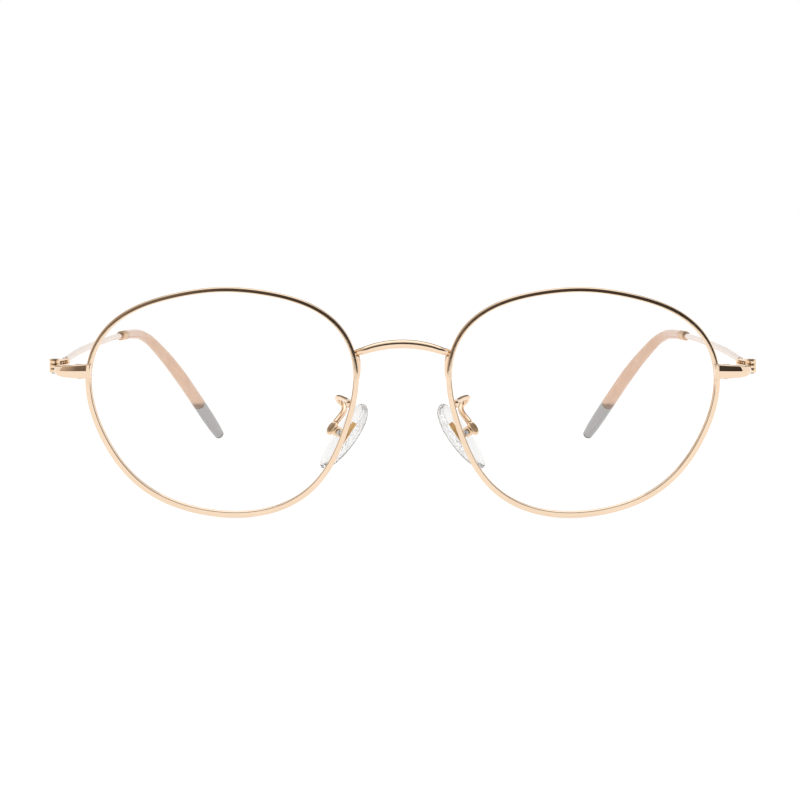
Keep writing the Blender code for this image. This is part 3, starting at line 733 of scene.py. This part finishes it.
def make_rim_lock(name, side):
    """The two blocks that close the rim, and the screw through them."""
    half_width = (LOCK_SIDES[1] - LOCK_SIDES[0]) / 2
    for part, (low, high) in LOCK_HEIGHTS.items():
        centre = Vector((side * sum(LOCK_SIDES) / 2, LOCK_SCREW_Y, (low + high) / 2))
        bm = bmesh.new()
        add_block(bm, centre, (half_width, LOCK_HALF_DEPTH, (high - low) / 2), edge=0.18)
        new_piece(f"lock_block_{part}_{name}", bm, GOLD, "front", f"rim_lock_{part}_{name}")
    bm = bmesh.new()
    x = side * LOCK_SCREW_X
    add_turned(bm, Vector((x, LOCK_SCREW_Y, LOCK_SHANK_Z)), UP, barrel(*LOCK_SHANK))
    add_slotted_head(bm, Vector((x, LOCK_SCREW_Y, LOCK_HEAD_Z)), UP, LOCK_HEAD, turn=side * 0.5)
    new_piece(f"lock_screw_{name}", bm, STEEL, "front", f"rim_lock_screw_{name}")


def lug_section():
    """A tall lower face and a shorter upper one that leans back, meeting in a soft ridge."""
    face = arc_section(LUG_ARCS, LUG_HALF_THICK)
    bottom, top = face[0][0], face[-1][0]
    side_depth = LUG_HALF_THICK - LUG_BACK_EDGE
    upper_back = [(top, side_depth), (top - LUG_BACK_EDGE, LUG_HALF_THICK)]
    lower_back = [(bottom + LUG_BACK_EDGE, LUG_HALF_THICK), (bottom, side_depth)]
    return face + upper_back + lower_back


def make_end_piece(name, side):
    """The lug, which sweeps round the corner and thins out, and its collar at the rim."""
    section = lug_section()
    path = smooth_route([(x, y, 0) for x, y in LUG_PATH], LUG_SMOOTH_STEPS)
    frames = path_frames(path, UP)
    rings = []
    for index, (point, tangent, _, _) in enumerate(frames):
        share = index / (len(frames) - 1)
        size = interpolate(LUG_SIZES, share)
        height = LUG_START_Z + (LUG_END_Z - LUG_START_Z) * share
        back = Vector((-tangent.y, tangent.x, 0))
        ring = []
        for a, b in section:
            x, y = point.x + back.x * b, point.y + back.y * b
            ring.append((side * x, y, height + a * size))
        rings.append(ring)
    bm = bmesh.new()
    add_loft(bm, rings)
    add_block(bm, Vector((side * COLLAR_PLACE[0], COLLAR_PLACE[1], LUG_START_Z)), COLLAR_HALF, edge=0.16)
    new_piece(f"lug_{name}", bm, GOLD, "front", f"end_piece_{name}")


# Hinges


def hinge_place(side, x, y, z):
    """A place from distances outwards and backwards of the hinge's axis, and a height."""
    return Vector((side * (HINGE.x + x), HINGE.y + y, z))


def make_front_leaf(name, side):
    """The middle knuckle, the foot on the end piece and the arm between them."""
    low = HINGE_BOTTOM + KNUCKLE_HEIGHT + KNUCKLE_GAP
    high = HINGE_TOP - KNUCKLE_HEIGHT - KNUCKLE_GAP
    bm = bmesh.new()
    add_turned(bm, hinge_place(side, 0, 0, low), UP, barrel(high - low, KNUCKLE_RADIUS))
    add_block(bm, hinge_place(side, *LEAF_FOOT), LEAF_FOOT_HALF, edge=0.12)
    arm_x, arm_y, arm_rise = LEAF_ARM
    add_block(bm, hinge_place(side, arm_x, arm_y, low + arm_rise), LEAF_ARM_HALF, edge=0.1)
    new_piece(f"hinge_front_{name}", bm, WORN_GOLD, "front", f"hinge_front_leaf_{name}")


def bracket_place(side, distance, inward, height):
    """A place on the bracket. inward runs from 0 at its outer face to 1 at its slanting inner one."""
    share = (distance - BRACKET_ENDS[0]) / (BRACKET_ENDS[1] - BRACKET_ENDS[0])
    inside = BRACKET_INSIDE[0] + (BRACKET_INSIDE[1] - BRACKET_INSIDE[0]) * share
    level = BRACKET_Z - BRACKET_FALL * (distance - BRACKET_ENDS[0])
    outward = BRACKET_OUTSIDE + (inside - BRACKET_OUTSIDE) * inward
    return hinge_place(side, outward, distance, level + height)


def add_bracket(bm, side):
    """The long plate with a round-ended slot that holds the front of the temple wire."""
    middle = sum(BRACKET_ENDS) / 2
    half = (BRACKET_ENDS[1] - BRACKET_ENDS[0]) / 2
    outer = rounded_outline(half, BRACKET_HALF_HEIGHT, BRACKET_HALF_HEIGHT * 0.8, 8)
    inner = rounded_outline(*BRACKET_SLOT, BRACKET_SLOT[1] * 0.95, 8)
    rings = []
    for edge, slot in zip(outer, inner):
        brow = Vector(edge) - Vector(edge).normalized() * BRACKET_BROW
        mouth = Vector(slot) + Vector(slot).normalized() * SLOT_LIP
        section = (
            (*brow, 0.0),
            (*edge, 0.08),
            (*edge, 0.92),
            (*brow, 1.0),
            (*mouth, 1.0),
            (*slot, 0.95),
            (*slot, 0.05),
            (*mouth, 0.0),
        )
        ring = [bracket_place(side, middle + back, inward, height) for back, height, inward in section]
        rings.append(ring)
    add_loft(bm, rings, closed=True)


def make_temple_leaf(name, side):
    """The outer knuckles, their necks, the web that joins them and the bracket behind it."""
    bm = bmesh.new()
    for low in (HINGE_BOTTOM, HINGE_TOP - KNUCKLE_HEIGHT):
        add_turned(bm, hinge_place(side, 0, 0, low), UP, barrel(KNUCKLE_HEIGHT, KNUCKLE_RADIUS))
        neck = hinge_place(side, 0, NECK_BACK, low + KNUCKLE_HEIGHT / 2)
        add_block(bm, neck, (*NECK_HALF, KNUCKLE_HEIGHT / 2 - NECK_INSET), edge=0.1)
    web = hinge_place(side, *WEB_PLACE, (HINGE_BOTTOM + HINGE_TOP) / 2)
    add_block(bm, web, (*WEB_HALF, (HINGE_TOP - HINGE_BOTTOM) / 2 - WEB_INSET), edge=0.2)
    add_bracket(bm, side)
    body = f"temple_arm_{name}"
    new_piece(f"hinge_temple_{name}", bm, WORN_GOLD, body, f"hinge_temple_leaf_{name}")


def make_bracket_spring(name, side):
    """The spring, darkened with painted shade for the recess of the bracket's slot, and the pins that show
    inside the slot.
    """
    body, node = f"temple_arm_{name}", f"hinge_temple_leaf_{name}"
    middle = sum(BRACKET_ENDS) / 2
    bm = bmesh.new()
    spring = bracket_place(side, middle, SPRING_INWARD, 0)
    # This spring's dark colour is painted shade for the slot's recess.
    add_block(bm, spring, SPRING_HALF, edge=0.08, axes=(BACK, UP, ACROSS))
    new_piece(f"bracket_spring_{name}", bm, SPRING_SHADE_GOLD, body, node)
    bm = bmesh.new()
    for distance in PIN_PLACES:
        start = bracket_place(side, middle + distance, PIN_INWARD, 0)
        add_turned(bm, start, -side * ACROSS, barrel(*PIN), count=20)
    new_piece(f"bracket_pins_{name}", bm, GOLD, body, node)


def make_hinge_screw(name, side):
    bm = bmesh.new()
    seat = hinge_place(side, 0, 0, HINGE_TOP - HINGE_HEAD_SEAT)
    add_slotted_head(bm, seat, UP, HINGE_HEAD, turn=side * 0.9)
    foot = hinge_place(side, 0, 0, HINGE_BOTTOM - HINGE_SHANK_BELOW)
    add_turned(bm, foot, UP, barrel(*HINGE_SHANK))
    body = f"temple_arm_{name}"
    new_piece(f"hinge_screw_slotted_{name}", bm, STEEL, body, f"hinge_screw_{name}")


# Temples


def temple_points(route, distances, side):
    return mirror_route([along_route(route, distance) for distance in distances], side)


def make_shaft(name, side, route):
    """The bare wire, from inside the bracket to the tip."""
    distances = evenly(-SHAFT_IN_BRACKET, TIP_START + CORE_BEGINS, SHAFT_STEPS)
    radii = [interpolate(TEMPLE_RADII, distance) for distance in distances]
    bm = bmesh.new()
    add_wire(bm, temple_points(route, distances, side), radii)
    new_piece(f"temple_shaft_{name}", bm, TEMPLE_GOLD, f"temple_arm_{name}", f"temple_wire_{name}")


def make_core(name, side, route):
    """The wire's thicker end inside the tip."""
    distances = evenly(TIP_START + CORE_BEGINS, route_length(route) - CORE_SHORT_OF_TIP, CORE_STEPS)
    radii = [CORE_SHARE * interpolate(TIP_RADII, distance - TIP_START) for distance in distances]
    bm = bmesh.new()
    add_wire(bm, temple_points(route, distances, side), radii)
    new_piece(f"temple_core_{name}", bm, CORE_GOLD, f"temple_arm_{name}", f"temple_wire_{name}")


def make_tip(name, side, route):
    """The clear sleeve, which swells past its bend and thins out at its end."""
    mouth = TIP_START + FERRULE_LENGTH - FERRULE_OVER_TIP
    distances = evenly(mouth, route_length(route) - TIP_DOME, TIP_STEPS)
    radii = [interpolate(TIP_RADII, distance - TIP_START) for distance in distances]
    radii[0] *= TIP_MOUTH_SHARE
    bm = bmesh.new()
    add_wire(bm, temple_points(route, distances, side), radii, count=40, round_ends=(False, True))
    new_piece(f"tip_sleeve_{name}", bm, ACETATE, f"temple_arm_{name}", f"temple_tip_{name}")


def make_ferrule(name, side, route):
    """The ring around the tip's mouth, with softened ends."""
    distances = evenly(TIP_START, TIP_START + FERRULE_LENGTH, FERRULE_STEPS)
    radii = [FERRULE_RADIUS] * len(distances)
    radii[0] -= 0.1
    radii[-1] -= 0.05
    bm = bmesh.new()
    add_wire(bm, temple_points(route, distances, side), radii, count=32, round_ends=(False, False))
    new_piece(f"ferrule_ring_{name}", bm, FERRULE_GOLD, f"temple_arm_{name}", f"tip_ferrule_{name}")


# Nose pads


def pad_axes(side):
    """Unit vectors along the pad, across it and out of its face towards the nose."""
    length = Vector((-math.sin(PAD_FRONTAL), PAD_LEAN_BACK, math.cos(PAD_FRONTAL))).normalized()
    face = Vector((-math.cos(PAD_SPLAY), math.sin(PAD_SPLAY), 0))
    face = (face - face.dot(length) * length).normalized()
    flip = Vector((side, 1, 1))
    return length * flip, face.cross(length) * flip, face * flip


def pad_forward(side):
    """1 where the axis across the pad points forward, and -1 where it points back."""
    return -1 if pad_axes(side)[1].y > 0 else 1


def pad_place(side, length=0.0, width=0.0, face=0.0):
    """A place from distances along the pad's axes. face is 0 halfway through its thickness."""
    axes = pad_axes(side)
    offset = sum((axis * d for axis, d in zip(axes, (length, width, face))), Vector())
    x, y, z = PAD_CENTRE
    return Vector((side * x, y, z)) + offset


def pad_ring(side, height, spread):
    """An egg-shaped ring of the pad. spread is its share of the full outline."""
    ring = []
    for index in range(PAD_SIDES):
        around = 2 * math.pi * index / PAD_SIDES
        up = math.copysign(abs(math.cos(around)) ** PAD_ROUNDNESS, math.cos(around))
        across = math.copysign(abs(math.sin(around)) ** PAD_ROUNDNESS, math.sin(around))
        length = up * (PAD_SIZE[0] / 2) * spread
        width = across * (PAD_SIZE[1] / 2 * (1 + PAD_EGG * up)) * spread
        bow = -PAD_BOW * (up * spread) ** 2
        ring.append(pad_place(side, length, width, height + bow))
    return ring


def make_nose_pad(name, side):
    """A soft egg-shaped pad: a domed face, a rolled edge and a flatter back."""
    rings = []
    for level in range(1, PAD_LEVELS):
        turn = math.pi * level / PAD_LEVELS
        height = -math.cos(turn) * (PAD_SIZE[2] / 2)
        if height < 0:
            height *= PAD_BACK_SHARE
        rings.append(pad_ring(side, height, math.sin(turn) ** PAD_EDGE))
    bm = bmesh.new()
    add_loft(bm, rings)
    piece = new_piece(f"silicone_pad_{name}", bm, SILICONE, f"pad_rocker_{name}", f"nose_pad_{name}")


def make_pad_insert(name, side):
    """The plate moulded into the pad, and the tongue behind it."""
    axes = pad_axes(side)
    body, node = f"pad_rocker_{name}", f"pad_insert_{name}"
    bm = bmesh.new()
    plate = pad_place(side, PLATE_UP, PLATE_FORWARD * pad_forward(side), PLATE_FACE)
    add_block(bm, plate, PLATE_HALF, edge=0.12, axes=axes)
    new_piece(f"pad_plate_{name}", bm, AMBER_GOLD, body, node)
    bm = bmesh.new()
    add_block(bm, pad_place(side, face=TONGUE_FACE), TONGUE_HALF, edge=0.12, axes=axes)
    new_piece(f"pad_tongue_{name}", bm, GOLD, body, node)


def make_pad_box(name, side):
    """A round cup and two cheeks, with the pad's tongue between them."""
    axes = pad_axes(side)
    bm = bmesh.new()
    add_turned(bm, pad_place(side, face=BOX_FACE), axes[2], BOX_CUP)
    for sign in (1, -1):
        cheek = pad_place(side, width=CHEEK_APART * sign, face=CHEEK_FACE)
        add_block(bm, cheek, CHEEK_HALF, edge=0.1, axes=axes)
    new_piece(f"pad_box_cup_{name}", bm, WORN_GOLD, "front", f"pad_box_{name}")


def make_pad_screw(name, side):
    """The screw that the pad rocks on, with its head at the front."""
    forward = pad_forward(side)
    axis = pad_axes(side)[1] * forward
    bm = bmesh.new()
    foot = pad_place(side, width=PAD_SHANK_START * forward, face=-PAD_ROCK_HEIGHT)
    add_turned(bm, foot, axis, barrel(*PAD_SHANK), count=24)
    seat = pad_place(side, width=PAD_HEAD_START * forward, face=-PAD_ROCK_HEIGHT)
    add_slotted_head(bm, seat, axis, PAD_HEAD, PAD_HEAD_SLOT, turn=0.7)
    new_piece(f"pad_screw_slotted_{name}", bm, STEEL, "front", f"pad_screw_{name}")


def make_pad_arm(name, side):
    """The wire from the back of the rim, round its bend and down to the box."""
    end_up, end_behind = PAD_ARM_END
    end = pad_place(1, length=end_up, face=-PAD_ROCK_HEIGHT - end_behind)
    route = smooth_route([*PAD_ARM_ROUTE, end])
    radii = []
    for index in range(len(route)):
        foot = PAD_ARM_FOOT * max(0, 1 - index / PAD_ARM_FOOT_STEPS) ** 2
        leg = PAD_ARM_LEG * min(max(index / ROUTE_STEPS - PAD_ARM_LEG_POINT, 0), 1)
        radii.append(PAD_ARM_RADIUS + foot + leg)
    bm = bmesh.new()
    add_wire(bm, mirror_route(route, side), radii, up=ACROSS)
    new_piece(f"pad_wire_{name}", bm, GOLD, "front", f"pad_arm_{name}")


# Studio


def make_floor():
    material = bpy.data.materials.new("pale_floor")
    _, _, shader = node_tree(material)
    shader.inputs["Base Color"].default_value = (0.22, 0.22, 0.22, 1)
    shader.inputs["Roughness"].default_value = 0.9
    shader.inputs["Specular IOR Level"].default_value = 0.1
    shader.inputs["Emission Color"].default_value = (1, 1, 1, 1)
    shader.inputs["Emission Strength"].default_value = FLOOR_GLOW
    bm = bmesh.new()
    bmesh.ops.create_circle(bm, cap_ends=True, segments=64, radius=FLOOR_RADIUS)
    mesh = bpy.data.meshes.new("floor")
    bm.to_mesh(mesh)
    bm.free()
    mesh.materials.append(material)
    floor = bpy.data.objects.new("floor", mesh)
    floor.location.z = CAD_BOX[0].z - FLOOR_BELOW
    bpy.context.scene.collection.objects.link(floor)


def card_material(name, shades):
    """A glow that follows shades from left to right and grows brighter with height."""
    material = bpy.data.materials.new(name)
    material.use_nodes = True
    nodes, links = material.node_tree.nodes, material.node_tree.links
    nodes.clear()
    coordinates = nodes.new("ShaderNodeTexCoord")
    split = nodes.new("ShaderNodeSeparateXYZ")
    links.new(coordinates.outputs["Object"], split.inputs["Vector"])
    across = nodes.new("ShaderNodeMapRange")
    across.inputs["From Min"].default_value = -CARD_RADIUS
    across.inputs["From Max"].default_value = CARD_RADIUS
    links.new(split.outputs["X"], across.inputs["Value"])
    ramp = nodes.new("ShaderNodeValToRGB")
    while len(ramp.color_ramp.elements) < len(shades):
        ramp.color_ramp.elements.new(0.5)
    for element, (place, brightness) in zip(ramp.color_ramp.elements, shades):
        element.position = place
        element.color = [brightness * channel for channel in CARD_TINT] + [1]
    links.new(across.outputs["Result"], ramp.inputs["Fac"])
    emission = nodes.new("ShaderNodeEmission")
    links.new(ramp.outputs["Color"], emission.inputs["Color"])
    upward = nodes.new("ShaderNodeMapRange")
    upward.inputs["From Max"].default_value = CARD_RADIUS
    upward.inputs["To Min"].default_value = CARD_STRENGTHS[0]
    upward.inputs["To Max"].default_value = CARD_STRENGTHS[1]
    links.new(split.outputs["Z"], upward.inputs["Value"])
    links.new(upward.outputs["Result"], emission.inputs["Strength"])
    output = nodes.new("ShaderNodeOutputMaterial")
    links.new(emission.outputs["Emission"], output.inputs["Surface"])
    return material


def card_mesh(name, azimuths, elevations):
    """Part of a sphere around the origin, as a grid. Azimuth 0 is at the front."""
    verts, faces = [], []
    for elevation in evenly(*elevations, CARD_ROWS):
        level = CARD_RADIUS * math.cos(math.radians(elevation))
        height = CARD_RADIUS * math.sin(math.radians(elevation))
        for azimuth in evenly(*azimuths, CARD_COLUMNS):
            turn = math.radians(azimuth)
            verts.append((level * math.sin(turn), -level * math.cos(turn), height))
    for row in range(CARD_ROWS):
        for column in range(CARD_COLUMNS):
            first = row * (CARD_COLUMNS + 1) + column
            above = first + CARD_COLUMNS + 1
            faces.append((first, first + 1, above + 1, above))
    mesh = bpy.data.meshes.new(name)
    mesh.from_pydata(verts, [], faces)
    mesh.shade_smooth()
    return mesh


def make_card(name, place, shades):
    """A curved panel that only reflections show."""
    mesh = card_mesh(name, *place)
    mesh.materials.append(card_material(name, shades))
    card = bpy.data.objects.new(name, mesh)
    bpy.context.scene.collection.objects.link(card)
    card.visible_camera = False
    card.visible_shadow = False
    card.visible_diffuse = False
    card.visible_transmission = False
    card.visible_volume_scatter = False


def make_world():
    world = bpy.data.worlds.new("white_studio")
    world.use_nodes = True
    background = world.node_tree.nodes["Background"]
    background.inputs["Color"].default_value = (1, 1, 1, 1)
    background.inputs["Strength"].default_value = 1.0
    bpy.context.scene.world = world


def make_light():
    light = bpy.data.lights.new("softbox", "AREA")
    light.shape = "RECTANGLE"
    light.size = 1.4
    light.size_y = 1.0
    light.energy = 2.2
    softbox = bpy.data.objects.new("softbox", light)
    softbox.location = (0, 0.1, 1.6)
    bpy.context.scene.collection.objects.link(softbox)


def make_camera():
    data = bpy.data.cameras.new("camera")
    data.lens = CAMERA_LENS
    data.sensor_width = 36.0
    data.clip_start = 0.01
    data.clip_end = 50.0
    camera = bpy.data.objects.new("camera", data)
    camera.location = at(CAMERA_SIDE, -CAMERA_BACK, CAMERA_HEIGHT)
    camera.rotation_euler = (math.pi / 2 - CAMERA_PITCH, 0, CAMERA_AIM / CAMERA_BACK)
    bpy.context.scene.collection.objects.link(camera)
    bpy.context.scene.camera = camera


def main():
    make_bridge()
    route = smooth_route(TEMPLE_ROUTE)
    for name, side in SIDES:
        make_rim(name, side)
        make_rim_lock(name, side)
        make_end_piece(name, side)
        make_front_leaf(name, side)
        make_temple_leaf(name, side)
        make_bracket_spring(name, side)
        make_hinge_screw(name, side)
        make_shaft(name, side, route)
        make_core(name, side, route)
        make_tip(name, side, route)
        make_ferrule(name, side, route)
        make_nose_pad(name, side)
        make_pad_insert(name, side)
        make_pad_box(name, side)
        make_pad_screw(name, side)
        make_pad_arm(name, side)
    make_floor()
    make_card("front_card", FRONT_CARD, FRONT_SHADES)
    make_card("back_card", BACK_CARD, BACK_SHADES)
    make_world()
    make_light()
    make_camera()
    bpy.context.scene.view_settings.view_transform = "Standard"


main()
